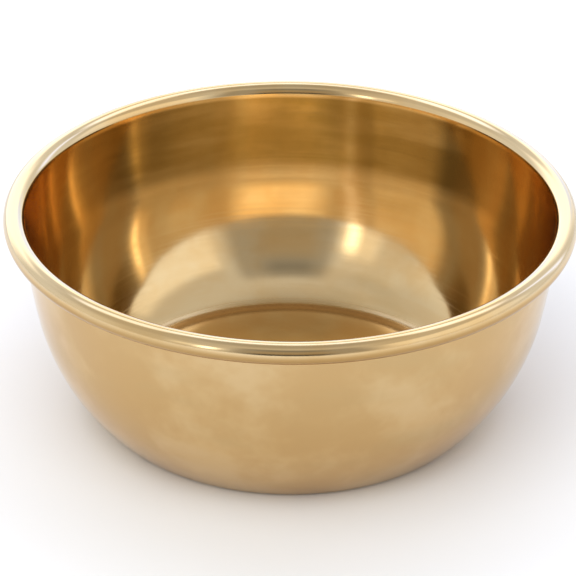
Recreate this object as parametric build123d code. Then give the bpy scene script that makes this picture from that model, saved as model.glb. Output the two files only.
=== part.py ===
from build123d import *
import math
import os

# A spun brass shaving bowl with a wired edge. Two pieces are made here:
#   bowl_shell  one disc of sheet, spun to a deep round bowl and curled outwards over the wire
#   rim_wire    the round wire ring inside the curl, which keeps the rim stiff and round
# All sizes are in millimetres. +Z is up along the bowl's axis, and the origin is the centre
# of the flat base's underside.

# Driving dimensions
RIM_DIAMETER = 120.0  # across the outside of the rolled rim
BEAD_CENTRE_HEIGHT = 44.4  # from the underside of the base to the middle of the rim wire
SHEET = 1.0  # thickness of the spun wall
FLOOR_THICKNESS = 1.5  # the base keeps the disc's own thickness, which spinning thins
WIRE_DIAMETER = 2.6  # room that the curl leaves for the wire
WIRE_CLEARANCE = 0.03  # radial gap round the wire, as the curl springs back a little
WIRE_BUTT_GAP = 0.4  # between the two ends of the wire ring
CURL_GAP = 0.25  # between the curl's raw edge and the wall

# The outside of the wall, from the base up: flat base, corner, belly, flank, each tangent
# to the next. The flank is nearly straight and leans out to meet the wire.
BASE_FLAT_RADIUS = 38.1
CORNER_RADIUS = 3.5
CORNER_SWEEP = 44.7  # degrees that the corner turns through
BELLY_RADIUS = 46.8
FLANK_RADIUS = 200.0

# The inside follows the outside down to the heel. There a heel and a small corner, each
# tangent to the next, take the wall down to the thicker floor.
HEEL_START = -33.5  # degrees, the wall's direction where the heel takes over from the belly
HEEL_RADIUS = 27.0
INNER_CORNER_RADIUS = 3.0

# Sizes that follow
wire_seat_radius = WIRE_DIAMETER / 2
wire_radius = wire_seat_radius - WIRE_CLEARANCE
bead_radius = wire_seat_radius + SHEET
bead_centre = Vector(RIM_DIAMETER / 2 - bead_radius, BEAD_CENTRE_HEIGHT)


def polar(centre, radius, degrees):
    """The point at that radius and direction from centre, in the profile's plane."""
    angle = math.radians(degrees)
    return centre + Vector(radius * math.cos(angle), radius * math.sin(angle))


def direction(vector):
    """The direction of a vector in the profile's plane, in degrees."""
    return math.degrees(math.atan2(vector.Y, vector.X))


def tangent_flank(belly_centre):
    """Where the flank starts, in degrees round the belly's centre, and the flank's centre.

    The flank is tangent to the belly and passes at the wire's radius from its middle.
    """
    to_bead = bead_centre - belly_centre
    offset = BELLY_RADIUS - FLANK_RADIUS
    reach = FLANK_RADIUS + wire_seat_radius
    along = (to_bead.length**2 + offset**2 - reach**2) / (2 * offset)
    start = direction(to_bead) - math.degrees(math.acos(along / to_bead.length))
    return start, polar(belly_centre, offset, start)


# Directions are those of the wall's outward normal: -90 under the base, near 0 at the rim.
UNDERSIDE = -90.0
corner_end = UNDERSIDE + CORNER_SWEEP
corner_centre = Vector(BASE_FLAT_RADIUS, CORNER_RADIUS)
belly_centre = polar(corner_centre, CORNER_RADIUS - BELLY_RADIUS, corner_end)
belly_end, flank_centre = tangent_flank(belly_centre)
flank_end = direction(bead_centre - flank_centre)

# The heel and the corner inside, which are arcs of the inner face itself
heel_centre = polar(belly_centre, BELLY_RADIUS - SHEET - HEEL_RADIUS, HEEL_START)
heel_to_corner = HEEL_RADIUS - INNER_CORNER_RADIUS
heel_drop = heel_centre.Y - FLOOR_THICKNESS - INNER_CORNER_RADIUS
heel_end = -math.degrees(math.asin(heel_drop / heel_to_corner))
inner_corner_centre = polar(heel_centre, heel_to_corner, heel_end)

# The curl starts on the bowl's inner side and goes over the wire, down the outside and back
# in under it, until its raw edge is CURL_GAP from the wall.
curl_start = flank_end + 180
edge_to_wall = math.degrees(math.acos((wire_seat_radius - CURL_GAP) / bead_radius))
curl_end = curl_start - 360 + edge_to_wall
curl_middle = (curl_start + curl_end) / 2


def arc(centre, radius, start, end):
    """An arc through its two ends and its middle, which may run either way round."""
    middle = (start + end) / 2
    return ThreePointArc(
        polar(centre, radius, start), polar(centre, radius, middle), polar(centre, radius, end)
    )


def bowl_shell():
    """The sheet's section, revolved: outside of the wall, round the curl, and back inside."""
    axis_bottom = Vector(0, 0)
    axis_top = Vector(0, FLOOR_THICKNESS)
    with BuildPart() as shell:
        with BuildSketch(Plane.XZ):
            with BuildLine():
                Line(axis_bottom, Vector(BASE_FLAT_RADIUS, 0))
                arc(corner_centre, CORNER_RADIUS, UNDERSIDE, corner_end)
                arc(belly_centre, BELLY_RADIUS, corner_end, belly_end)
                arc(flank_centre, FLANK_RADIUS, belly_end, flank_end)
                arc(bead_centre, wire_seat_radius, curl_start, curl_middle)
                arc(bead_centre, wire_seat_radius, curl_middle, curl_end)
                Line(
                    polar(bead_centre, wire_seat_radius, curl_end),
                    polar(bead_centre, bead_radius, curl_end),
                )
                arc(bead_centre, bead_radius, curl_end, curl_middle)
                arc(bead_centre, bead_radius, curl_middle, curl_start)
                arc(flank_centre, FLANK_RADIUS - SHEET, flank_end, belly_end)
                arc(belly_centre, BELLY_RADIUS - SHEET, belly_end, HEEL_START)
                arc(heel_centre, HEEL_RADIUS, HEEL_START, heel_end)
                arc(inner_corner_centre, INNER_CORNER_RADIUS, heel_end, UNDERSIDE)
                Line(Vector(inner_corner_centre.X, FLOOR_THICKNESS), axis_top)
                Line(axis_top, axis_bottom)
            make_face()
        revolve(axis=Axis.Z)
    return shell.part


def rim_wire():
    """The wire ring, with its two butted ends at the back."""
    gap_angle = math.degrees(WIRE_BUTT_GAP / bead_centre.X)
    with BuildPart() as wire:
        with BuildSketch(Plane.XZ):
            with BuildLine():
                arc(bead_centre, wire_radius, -90, 90)
                arc(bead_centre, wire_radius, 90, 270)
            make_face()
        revolve(axis=Axis.Z, revolution_arc=360 - gap_angle)
    middle_of_gap_at_back = 90 + gap_angle / 2
    return wire.part.rotate(Axis.Z, middle_of_gap_at_back)


os.makedirs("parts", exist_ok=True)
pieces = {"bowl_shell": bowl_shell(), "rim_wire": rim_wire()}
for name, piece in pieces.items():
    export_step(piece, f"parts/{name}.step")
    size = piece.bounding_box().size
    print(name, "volume", round(piece.volume), "mm3, size", size)
print("inner floor radius", round(inner_corner_centre.X, 2), "heel ends at", round(heel_end, 2))
print("total height", round(BEAD_CENTRE_HEIGHT + bead_radius, 2))
print("belly to flank at", round(belly_end, 2), "degrees; lean at the rim", round(flank_end, 2))
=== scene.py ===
import math

import bpy
from mathutils import Matrix, Vector, noise


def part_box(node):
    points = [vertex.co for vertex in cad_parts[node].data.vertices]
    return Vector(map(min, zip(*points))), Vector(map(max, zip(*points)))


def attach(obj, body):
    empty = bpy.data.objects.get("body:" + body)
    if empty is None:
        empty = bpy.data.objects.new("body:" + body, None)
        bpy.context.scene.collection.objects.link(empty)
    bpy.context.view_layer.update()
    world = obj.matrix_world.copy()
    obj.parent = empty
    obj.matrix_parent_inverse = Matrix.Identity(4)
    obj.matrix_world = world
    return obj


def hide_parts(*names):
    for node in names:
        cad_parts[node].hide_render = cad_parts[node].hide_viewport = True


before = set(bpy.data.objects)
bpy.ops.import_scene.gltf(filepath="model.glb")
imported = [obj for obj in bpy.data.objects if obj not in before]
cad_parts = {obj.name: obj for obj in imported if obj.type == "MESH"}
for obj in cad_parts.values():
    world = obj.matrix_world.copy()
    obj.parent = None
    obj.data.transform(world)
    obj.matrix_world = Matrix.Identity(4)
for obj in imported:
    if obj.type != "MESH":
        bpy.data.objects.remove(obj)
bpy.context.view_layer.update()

# A polished, spun brass shaving bowl with a wired rim, on a pale table in soft studio light.
# Lengths are in metres and angles in degrees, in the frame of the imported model: +Z is the
# bowl's axis, z = 0 is the table, and -Y is the front.

# The bowl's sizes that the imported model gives
shell_low, shell_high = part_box("bowl_shell")
wire_low, wire_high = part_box("rim_wire")
RIM_RADIUS = (shell_high.x - shell_low.x) / 2
HEIGHT = shell_high.z
BEAD_HEIGHT = (wire_low.z + wire_high.z) / 2
BEAD_RADIUS = HEIGHT - BEAD_HEIGHT
BEAD_CENTRE = Vector((RIM_RADIUS - BEAD_RADIUS, BEAD_HEIGHT))

# The rest of the wall's section, as the CAD part has it
SHEET = 0.001
BASE_FLAT_RADIUS = 0.0381
CORNER_RADIUS = 0.0035
CORNER_SWEEP = 44.7
BELLY_RADIUS = 0.0468
FLANK_RADIUS = 0.200
FLOOR_THICKNESS = 0.0015
HEEL_START = -33.5
HEEL_RADIUS = 0.027
INNER_CORNER_RADIUS = 0.003
WIRE_SEAT_RADIUS = BEAD_RADIUS - SHEET

# The curl's raw edge is rounded here, and comes nearer to the wall than the CAD part's edge.
CURL_GAP = 0.00006

# How the surface was worked: slow waves, which fade out towards the axis and near the floor
AZIMUTH_STEPS = 288
WAVE_DEPTH = 0.00009
WAVE_LENGTH = 0.028
WAVE_FADE = 0.004

# Where the brass changes tone, or where painted shade and a painted highlight lie: each pair is
# where a change starts and where it is complete.
# A foot or a top is a height, back is behind the axis, and sides are to either side of it.
# Painted shade below the bead, on the outside
UNDER_BEAD_SHADE_FOOT = (BEAD_HEIGHT - 0.0028, BEAD_HEIGHT - 0.0018)
OUTSIDE_TOP = (BEAD_HEIGHT - 0.0006, BEAD_HEIGHT + 0.0008)
# Painted shade on the upper wall inside, at the back and the sides
BACK_SHADE_FOOT = (0.0262, 0.0302)
BACK_SHADE_TOP = (BEAD_HEIGHT - 0.0006, BEAD_HEIGHT + 0.0002)
BACK_SHADE_BACK = (0.020, 0.042)
BACK_SHADE_SIDES = (0.014, 0.034)
# A painted highlight on the rim's top, at its sides
RIM_HIGHLIGHT_FOOT = (BEAD_HEIGHT + 0.0002, BEAD_HEIGHT + 0.0012)
RIM_HIGHLIGHT_SIDES = (0.036, 0.050)
# The corner round the floor, rougher and darkened by painted shade
ROUGH_SHADED_CORNER_FOOT = (FLOOR_THICKNESS + 0.00002, FLOOR_THICKNESS + 0.00012)
ROUGH_SHADED_CORNER_TOP = (FLOOR_THICKNESS + 0.00042, FLOOR_THICKNESS + 0.00112)

# The colours of the brass
FRESH = (0.745, 0.56, 0.31, 1)
WARM = (0.72, 0.495, 0.235, 1)
STAINED = (0.56, 0.40, 0.19, 1)
HANDLED = (0.585, 0.385, 0.17, 1)
# Painted shade below the bead
UNDER_BEAD_SHADE = (0.44, 0.26, 0.085, 1)
# Painted shade on the upper wall inside
BACK_SHADE_LIGHT = (0.42, 0.27, 0.085, 1)
BACK_SHADE_DEEP = (0.33, 0.21, 0.062, 1)
BACK_SHADE_DEEPEST = (0.25, 0.16, 0.055, 1)
# A painted highlight on the rim
RIM_HIGHLIGHT = (0.665, 0.535, 0.34, 1)
# Painted shade in the corner round the floor
CORNER_SHADE = (0.48, 0.31, 0.13, 1)
WIRE_BRIGHT = (0.74, 0.54, 0.27, 1)
WIRE_TARNISHED = (0.50, 0.34, 0.16, 1)


def polar(centre, radius, degrees):
    """The point at that radius and direction from centre, in the section's plane."""
    angle = math.radians(degrees)
    return centre + Vector((radius * math.cos(angle), radius * math.sin(angle)))


def direction(vector):
    """The direction of a vector in the section's plane."""
    return math.degrees(math.atan2(vector.y, vector.x))


def tangent_flank(belly_centre):
    """Where the flank starts round the belly's centre, and the flank's centre."""
    to_bead = BEAD_CENTRE - belly_centre
    offset = BELLY_RADIUS - FLANK_RADIUS
    reach = FLANK_RADIUS + WIRE_SEAT_RADIUS
    along = (to_bead.length**2 + offset**2 - reach**2) / (2 * offset)
    start = direction(to_bead) - math.degrees(math.acos(along / to_bead.length))
    return start, polar(belly_centre, offset, start)


def arc(centre, radius, start, end, steps):
    """Points along an arc, without its last one."""
    return [polar(centre, radius, start + (end - start) * i / steps) for i in range(steps)]


def line(start, end, steps):
    """Points along a straight run, without its last one."""
    return [start.lerp(end, i / steps) for i in range(steps)]


def section():
    """The sheet's section, from the base's underside round the curled rim to the floor inside."""
    underside = -90.0
    corner_end = underside + CORNER_SWEEP
    corner = Vector((BASE_FLAT_RADIUS, CORNER_RADIUS))
    belly = polar(corner, CORNER_RADIUS - BELLY_RADIUS, corner_end)
    belly_end, flank = tangent_flank(belly)
    flank_end = direction(BEAD_CENTRE - flank)
    heel = polar(belly, BELLY_RADIUS - SHEET - HEEL_RADIUS, HEEL_START)
    heel_to_corner = HEEL_RADIUS - INNER_CORNER_RADIUS
    heel_drop = heel.y - FLOOR_THICKNESS - INNER_CORNER_RADIUS
    heel_end = -math.degrees(math.asin(heel_drop / heel_to_corner))
    inner_corner = polar(heel, heel_to_corner, heel_end)
    floor_edge = Vector((inner_corner.x, FLOOR_THICKNESS))
    floor_middle = Vector((0, FLOOR_THICKNESS))
    # The curl's end is rounded, and stops CURL_GAP from the wall.
    middle_radius = WIRE_SEAT_RADIUS + SHEET / 2
    end_to_wall = math.degrees(
        math.acos((WIRE_SEAT_RADIUS - SHEET / 2 - CURL_GAP) / middle_radius)
    )
    curl_start = flank_end + 180
    curl_end = curl_start - 360 + end_to_wall
    edge = polar(BEAD_CENTRE, middle_radius, curl_end)
    return [
        *line(Vector((0, 0)), Vector((BASE_FLAT_RADIUS, 0)), 12),
        *arc(corner, CORNER_RADIUS, underside, corner_end, 12),
        *arc(belly, BELLY_RADIUS, corner_end, belly_end, 52),
        *arc(flank, FLANK_RADIUS, belly_end, flank_end, 26),
        *arc(BEAD_CENTRE, WIRE_SEAT_RADIUS, curl_start, curl_end, 20),
        *arc(edge, SHEET / 2, curl_end + 180, curl_end, 8),
        *arc(BEAD_CENTRE, BEAD_RADIUS, curl_end, curl_start, 60),
        *arc(flank, FLANK_RADIUS - SHEET, flank_end, belly_end, 28),
        *arc(belly, BELLY_RADIUS - SHEET, belly_end, HEEL_START, 44),
        *arc(heel, HEEL_RADIUS, HEEL_START, heel_end, 22),
        *arc(inner_corner, INNER_CORNER_RADIUS, heel_end, underside, 12),
        *line(floor_edge, floor_middle, 34),
        floor_middle,
    ]


def lengths_along(points):
    """How far each point of the section is from its start."""
    found = [0.0]
    for before, after in zip(points, points[1:]):
        found.append(found[-1] + (after - before).length)
    return found


def wave(place, ring):
    """How far the sheet stands in or out here: slow waves left by spinning and buffing."""
    from_axis = min(1, ring.x / BASE_FLAT_RADIUS)
    from_floor = min(1, max(0, ring.y - FLOOR_THICKNESS) / WAVE_FADE)
    return WAVE_DEPTH * noise.noise(place / WAVE_LENGTH) * from_axis * from_floor


def lathe(name, points):
    """The section turned about Z, with the sheet's slow waves in both its faces."""
    along = lengths_along(points)
    low_pole, high_pole = points[0], points[-1]
    rings = points[1:-1]
    vertices = [(0, 0, low_pole.y)]
    distances = [along[0]]
    for ring, distance in zip(rings, along[1:-1]):
        for k in range(AZIMUTH_STEPS):
            turn = 2 * math.pi * k / AZIMUTH_STEPS
            out = Vector((math.cos(turn), math.sin(turn), 0))
            place = out * ring.x + Vector((0, 0, ring.y))
            vertices.append(place + out * wave(place, ring))
            distances.append(distance)
    vertices.append((0, 0, high_pole.y))
    distances.append(along[-1])
    faces = []
    last = len(vertices) - 1
    for k in range(AZIMUTH_STEPS):
        after = (k + 1) % AZIMUTH_STEPS
        faces.append((0, 1 + after, 1 + k))
        for r in range(len(rings) - 1):
            low, high = 1 + r * AZIMUTH_STEPS, 1 + (r + 1) * AZIMUTH_STEPS
            faces.append((low + k, low + after, high + after, high + k))
        top = 1 + (len(rings) - 1) * AZIMUTH_STEPS
        faces.append((top + k, top + after, last))
    mesh = bpy.data.meshes.new(name)
    mesh.from_pydata(vertices, [], faces)
    mesh.polygons.foreach_set("use_smooth", [True] * len(mesh.polygons))
    rim_top = max(range(len(points)), key=lambda i: points[i].y)
    inside = [float(distance > along[rim_top]) for distance in distances]
    for label, values in (("along", distances), ("inside", inside)):
        attribute = mesh.attributes.new(label, "FLOAT", "POINT")
        attribute.data.foreach_set("value", values)
    mesh.validate()
    mesh.update()
    piece = bpy.data.objects.new(name, mesh)
    bpy.context.scene.collection.objects.link(piece)
    return piece


class Nodes:
    """A material's or world's node tree, with short ways to add and link nodes."""

    def __init__(self, owner):
        owner.use_nodes = True
        self.tree = owner.node_tree
        self.tree.nodes.clear()

    def add(self, kind, **settings):
        node = self.tree.nodes.new(kind)
        for name, value in settings.items():
            setattr(node, name, value)
        return node

    def set(self, socket, value):
        if isinstance(value, bpy.types.NodeSocket):
            self.tree.links.new(value, socket)
        else:
            socket.default_value = value

    def math(self, operation, *values):
        node = self.add("ShaderNodeMath", operation=operation)
        for socket, value in zip(node.inputs, values):
            self.set(socket, value)
        return node.outputs[0]

    def product(self, *shares):
        """All the shares multiplied."""
        total = shares[0]
        for share in shares[1:]:
            total = self.math("MULTIPLY", total, share)
        return total

    def fit(self, value, low, high, new_low=0.0, new_high=1.0, smooth=True):
        """new_low where the value is low, and new_high where it is high."""
        kind = "SMOOTHSTEP" if smooth else "LINEAR"
        node = self.add("ShaderNodeMapRange", interpolation_type=kind)
        for socket, given in zip(node.inputs, (value, low, high, new_low, new_high)):
            self.set(socket, given)
        return node.outputs[0]

    def past(self, value, edge):
        """0 before the edge and 1 past it."""
        return self.fit(value, *edge)

    def before(self, value, edge):
        """1 before the edge and 0 past it."""
        return self.fit(value, *edge, 1.0, 0.0)

    def noise(self, vector, scale, detail=3.0, roughness=0.5):
        node = self.add("ShaderNodeTexNoise")
        self.set(node.inputs["Vector"], vector)
        self.set(node.inputs["Scale"], scale)
        self.set(node.inputs["Detail"], detail)
        self.set(node.inputs["Roughness"], roughness)
        return node.outputs[0]

    def mix(self, share, a, b):
        """Colour a, and colour b where the share is 1."""
        node = self.add("ShaderNodeMix", data_type="RGBA")
        self.set(node.inputs[0], share)
        self.set(node.inputs[6], a)
        self.set(node.inputs[7], b)
        return node.outputs[2]

    def bump(self, height, distance):
        node = self.add("ShaderNodeBump")
        node.inputs["Distance"].default_value = distance
        self.set(node.inputs["Height"], height)
        return node.outputs[0]

    def metal(self, colour, roughness, normal):
        """A bare metal as the material's surface."""
        shader = self.add("ShaderNodeBsdfPrincipled")
        shader.inputs["Metallic"].default_value = 1.0
        self.set(shader.inputs["Base Color"], colour)
        self.set(shader.inputs["Roughness"], roughness)
        self.set(shader.inputs["Normal"], normal)
        output = self.add("ShaderNodeOutputMaterial")
        self.set(output.inputs["Surface"], shader.outputs[0])
        return shader


def lathe_coordinates(n, place, round_scale, pitch):
    """A pattern space where lines run round the axis: direction about Z, then length along."""
    flat = n.add("ShaderNodeVectorMath", operation="MULTIPLY")
    n.set(flat.inputs[0], place)
    flat.inputs[1].default_value = (1, 1, 0)
    unit = n.add("ShaderNodeVectorMath", operation="NORMALIZE")
    n.set(unit.inputs[0], flat.outputs[0])
    turned = n.add("ShaderNodeVectorMath", operation="SCALE")
    n.set(turned.inputs[0], unit.outputs[0])
    turned.inputs["Scale"].default_value = round_scale
    along = n.add("ShaderNodeAttribute", attribute_name="along").outputs["Fac"]
    length = n.add("ShaderNodeCombineXYZ")
    n.set(length.inputs["Z"], n.math("MULTIPLY", along, 1 / pitch))
    total = n.add("ShaderNodeVectorMath", operation="ADD")
    n.set(total.inputs[0], turned.outputs[0])
    n.set(total.inputs[1], length.outputs[0])
    return total.outputs[0]


def polished_brass():
    """Brass, buffed bright after spinning, with lathe lines, haze and stains, and with painted
    shade and a painted highlight in its colour.
    """
    material = bpy.data.materials.new("polished_brass")
    n = Nodes(material)
    place = n.add("ShaderNodeTexCoord").outputs["Object"]
    fine_lines = n.noise(lathe_coordinates(n, place, 1.6, 0.0003), 1.0, roughness=0.6)
    bands = n.noise(lathe_coordinates(n, place, 2.2, 0.004), 1.0)
    smears = n.noise(lathe_coordinates(n, place, 1.5, 0.011), 1.0, detail=4.0)
    haze = n.noise(place, 45.0, detail=4.0, roughness=0.6)
    scuffs = n.noise(place, 320.0, roughness=0.7)

    split = n.add("ShaderNodeSeparateXYZ")
    n.set(split.inputs[0], place)
    across, towards_back, rise = split.outputs
    sideways = n.math("ABSOLUTE", across)
    inner = n.add("ShaderNodeAttribute", attribute_name="inside").outputs["Fac"]
    outer = n.math("SUBTRACT", 1.0, inner)

    # The small corner round the floor is rougher, and painted shade darkens its colour.
    rough_shaded_corner = n.product(inner, n.past(rise, ROUGH_SHADED_CORNER_FOOT), n.before(rise, ROUGH_SHADED_CORNER_TOP))

    # The buffed metal's roughness, and what each mark adds to it
    roughness = 0.078
    marks = (
        (n.fit(fine_lines, 0.45, 0.7), 0.05),
        (n.fit(bands, 0.4, 0.7), 0.02),
        (n.fit(haze, 0.45, 0.75), 0.035),
        (n.fit(scuffs, 0.6, 0.75), 0.02),
        (rough_shaded_corner, 0.20),
    )
    for mark, added in marks:
        roughness = n.math("MULTIPLY_ADD", mark, added, roughness)

    colour = n.mix(n.fit(haze, 0.40, 0.64), FRESH, WARM)
    colour = n.mix(n.product(n.fit(bands, 0.4, 0.7), 0.5), colour, WARM)

    # The outside is duller and more orange, and painted shade makes it deep amber below the bead.
    outside = n.product(outer, n.before(rise, OUTSIDE_TOP))
    colour = n.mix(n.product(outside, n.fit(haze, 0.38, 0.62, 0.5, 1.0)), colour, HANDLED)
    colour = n.mix(n.product(outside, n.past(rise, UNDER_BEAD_SHADE_FOOT), 0.75), colour, UNDER_BEAD_SHADE)

    # Painted shade in brown covers the upper wall inside, at the back, and is deepest to the
    # sides; it stands for the dark reflections there.
    streaks = n.fit(bands, 0.25, 0.6, 0.78, 1.0)
    back_shade = n.product(inner, n.past(rise, BACK_SHADE_FOOT), n.before(rise, BACK_SHADE_TOP))
    back_shade = n.product(back_shade, n.past(towards_back, BACK_SHADE_BACK), streaks)
    brown = n.mix(n.fit(haze, 0.36, 0.64), BACK_SHADE_LIGHT, BACK_SHADE_DEEP)
    brown = n.mix(n.product(n.past(sideways, BACK_SHADE_SIDES), 0.85), brown, BACK_SHADE_DEEPEST)
    colour = n.mix(back_shade, colour, brown)

    # Smeared stains are all over. The rim's top is painted paler at its sides, a painted
    # highlight.
    colour = n.mix(n.product(n.fit(smears, 0.5, 0.72), 0.45), colour, STAINED)
    rim_side_highlight = n.product(n.past(sideways, RIM_HIGHLIGHT_SIDES), n.past(rise, RIM_HIGHLIGHT_FOOT))
    colour = n.mix(rim_side_highlight, colour, RIM_HIGHLIGHT)
    # Painted shade darkens the corner round the floor.
    colour = n.mix(n.product(rough_shaded_corner, 0.35), colour, CORNER_SHADE)

    lines = n.math("MULTIPLY_ADD", bands, 2.0, fine_lines)
    shader = n.metal(colour, roughness, n.bump(lines, 0.00000035))
    shader.inputs["Anisotropic"].default_value = 0.7
    shader.inputs["Anisotropic Rotation"].default_value = 0.25
    tangent = n.add("ShaderNodeTangent", direction_type="RADIAL", axis="Z")
    n.set(shader.inputs["Tangent"], tangent.outputs[0])
    return material


def drawn_wire_brass():
    """The rim's core wire: dull drawn brass with a fine grain and tarnish."""
    material = bpy.data.materials.new("drawn_wire_brass")
    n = Nodes(material)
    place = n.add("ShaderNodeTexCoord").outputs["Object"]
    grain = n.noise(place, 900.0)
    tarnish = n.noise(place, 60.0, detail=4.0)
    colour = n.mix(n.fit(tarnish, 0.35, 0.7), WIRE_BRIGHT, WIRE_TARNISHED)
    n.metal(colour, n.fit(grain, 0.3, 0.7, 0.28, 0.42), n.bump(grain, 0.000008))
    return material


def table_paper():
    """The pale, matt studio table."""
    material = bpy.data.materials.new("table_paper")
    n = Nodes(material)
    shader = n.add("ShaderNodeBsdfPrincipled")
    shader.inputs["Base Color"].default_value = (0.86, 0.86, 0.86, 1)
    shader.inputs["Roughness"].default_value = 0.85
    shader.inputs["Specular IOR Level"].default_value = 0.1
    output = n.add("ShaderNodeOutputMaterial")
    n.set(output.inputs["Surface"], shader.outputs[0])
    return material


def make_bowl():
    """The visible bowl, which stands for the CAD shell, and the wire's finish."""
    bowl = lathe("bowl", section())
    bowl.data.materials.append(polished_brass())
    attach(bowl, "root")
    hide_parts("bowl_shell")
    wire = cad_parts["rim_wire"]
    wire.data.materials.clear()
    wire.data.materials.append(drawn_wire_brass())


def make_table():
    """A wide pale floor."""
    half = 12.0
    mesh = bpy.data.meshes.new("table")
    corners = [(-half, -half, 0), (half, -half, 0), (half, half, 0), (-half, half, 0)]
    mesh.from_pydata(corners, [], [(0, 1, 2, 3)])
    table = bpy.data.objects.new("table", mesh)
    bpy.context.scene.collection.objects.link(table)
    mesh.materials.append(table_paper())


class Sky(Nodes):
    """The studio as seen from the bowl: brightness by direction.

    rise is the angle above the horizon. front is the turn away from the front, and back the
    turn away from the back, both positive towards +X.
    """

    def __init__(self, world):
        super().__init__(world)
        split = self.add("ShaderNodeSeparateXYZ")
        self.set(split.inputs[0], self.add("ShaderNodeTexCoord").outputs["Generated"])
        x, y, z = split.outputs
        self.rise = self.math("DEGREES", self.math("ARCSINE", z))
        minus_y = self.math("MULTIPLY", y, -1.0)
        self.front = self.math("DEGREES", self.math("ARCTAN2", x, minus_y))
        self.back = self.math("DEGREES", self.math("ARCTAN2", x, y))

    def band(self, angle, low, high, soft):
        """1 where the angle is between low and high, with soft edges."""
        up = self.fit(angle, low - soft, low + soft)
        down = self.fit(angle, high + soft, high - soft)
        return self.math("MULTIPLY", up, down)

    def patch(self, turn, left, right, low, high, soft, soft_rise):
        """1 inside a panel of the studio, given by its sides and heights, with soft edges."""
        wide = self.band(turn, left, right, soft)
        tall = self.band(self.rise, low, high, soft_rise)
        return self.math("MULTIPLY", wide, tall)

    def blend(self, share, a, b):
        """Brightness a, and brightness b where the share is 1."""
        return self.fit(share, 0.0, 1.0, a, b, smooth=False)


def make_room():
    """The studio: bright behind the bowl, and dim in front, with a lamp at the left."""
    world = bpy.data.worlds.new("studio")
    bpy.context.scene.world = world
    n = Sky(world)

    # All round, it gets dimmer towards the ceiling.
    level = n.blend(n.fit(n.rise, 20, 45), 1.0, 0.74)
    level = n.blend(n.fit(n.rise, 60, 85), level, 0.52)

    # Behind: a plain wall, a bright window high up, and a bright screen in the middle
    high_window = n.patch(n.back, -60, 60, 48, 66, 15, 4)
    level = n.blend(n.patch(n.back, -65, 65, -30, 44, 12, 4), level, 0.98)
    level = n.blend(high_window, level, 2.10)
    level = n.blend(n.patch(n.back, -48, 26, -30, 34, 14, 4), level, 2.05)

    # In front: a bright panel at the right, and the room, which is dimmer towards its middle
    # and dark there low down and high up
    level = n.blend(n.patch(n.front, 40, 104, 12, 40, 3, 4), level, 1.20)
    level = n.blend(n.patch(n.front, -70, 38, 4, 44, 8, 5), level, 0.85)
    level = n.blend(n.patch(n.front, -24, 33, 4, 56, 6, 6), level, 0.47)
    level = n.blend(n.patch(n.front, -16, 16, -2, 15, 6, 3), level, 0.12)
    level = n.blend(n.patch(n.front, -16, 16, 40, 54, 9, 8), level, 0.29)

    # A lamp in front at the left, inside its glow, and a narrow strip behind at the right
    strip = n.patch(n.back, 49, 58, 8, 44, 5, 6)
    level = n.blend(n.patch(n.front, -46, -26, 16, 32, 4, 3), level, 1.25)
    level = n.blend(n.patch(n.front, -35, -29, 12, 30, 3, 4), level, 3.2)
    level = n.blend(strip, level, 1.75)

    # The front's middle is warm. The strip, the window and the screen's low middle are cool.
    warm_middle = n.patch(n.front, -16, 16, 12, 38, 8, 5)
    low_screen = n.patch(n.back, -12, 26, 2, 22, 6, 4)
    tint = n.mix(warm_middle, (1, 1, 1, 1), (1, 0.86, 0.66, 1))
    tint = n.mix(strip, tint, (0.86, 1, 1.5, 1))
    tint = n.mix(high_window, tint, (0.85, 0.97, 1.3, 1))
    tint = n.mix(low_screen, tint, (0.66, 0.76, 1.04, 1))
    background = n.add("ShaderNodeBackground")
    n.set(background.inputs["Color"], tint)
    n.set(background.inputs["Strength"], level)
    output = n.add("ShaderNodeOutputWorld")
    n.set(output.inputs["Surface"], background.outputs[0])


# A large soft light above and in front, for the table
KEY_SIZE = 2.4
KEY_POWER = 42.0
KEY_PLACE = (-0.5, -1.4, 2.3)


def make_lights():
    """The table's light, aimed at the bowl. The brass doesn't mirror it."""
    data = bpy.data.lights.new("key", "AREA")
    data.size = KEY_SIZE
    data.energy = KEY_POWER
    light = bpy.data.objects.new("key", data)
    light.location = KEY_PLACE
    light.rotation_euler = light.location.to_track_quat("Z", "Y").to_euler()
    light.visible_glossy = False
    bpy.context.scene.collection.objects.link(light)


# The camera: a long lens, 0.44 m above the table, aimed a little below the rim's centre
CAMERA_DISTANCE = 0.840
CAMERA_ELEVATION = 28.2
CAMERA_ROLL = 0.45
CAMERA_TILT = 1.05
CAMERA_PAN = 0.03
SENSOR_MILLIMETRES = 36.0
FOCAL_PIXELS = 4019
FRAME_PIXELS = 576


def make_camera():
    """The scene's camera, in front of the bowl."""
    data = bpy.data.cameras.new("camera")
    data.sensor_width = SENSOR_MILLIMETRES
    data.lens = SENSOR_MILLIMETRES * FOCAL_PIXELS / FRAME_PIXELS
    data.clip_start = 0.01
    data.clip_end = 50.0
    camera = bpy.data.objects.new("camera", data)
    rise = math.radians(CAMERA_ELEVATION)
    target = Vector((0, 0, BEAD_HEIGHT))
    camera.location = target + CAMERA_DISTANCE * Vector((0, -math.cos(rise), math.sin(rise)))
    pitch = math.radians(90 - CAMERA_ELEVATION - CAMERA_TILT)
    look = Matrix.Rotation(math.radians(CAMERA_PAN), 3, "Z") @ Matrix.Rotation(pitch, 3, "X")
    roll = Matrix.Rotation(math.radians(CAMERA_ROLL), 3, "Z")
    camera.rotation_euler = (look @ roll).to_euler()
    bpy.context.scene.collection.objects.link(camera)
    bpy.context.scene.camera = camera


make_bowl()
make_table()
make_room()
make_lights()
make_camera()
bpy.context.scene.view_settings.view_transform = "Standard"

# Light crosses the bowl's inside many times before it leaves.
bpy.context.scene.cycles.max_bounces = 16
bpy.context.scene.cycles.glossy_bounces = 14
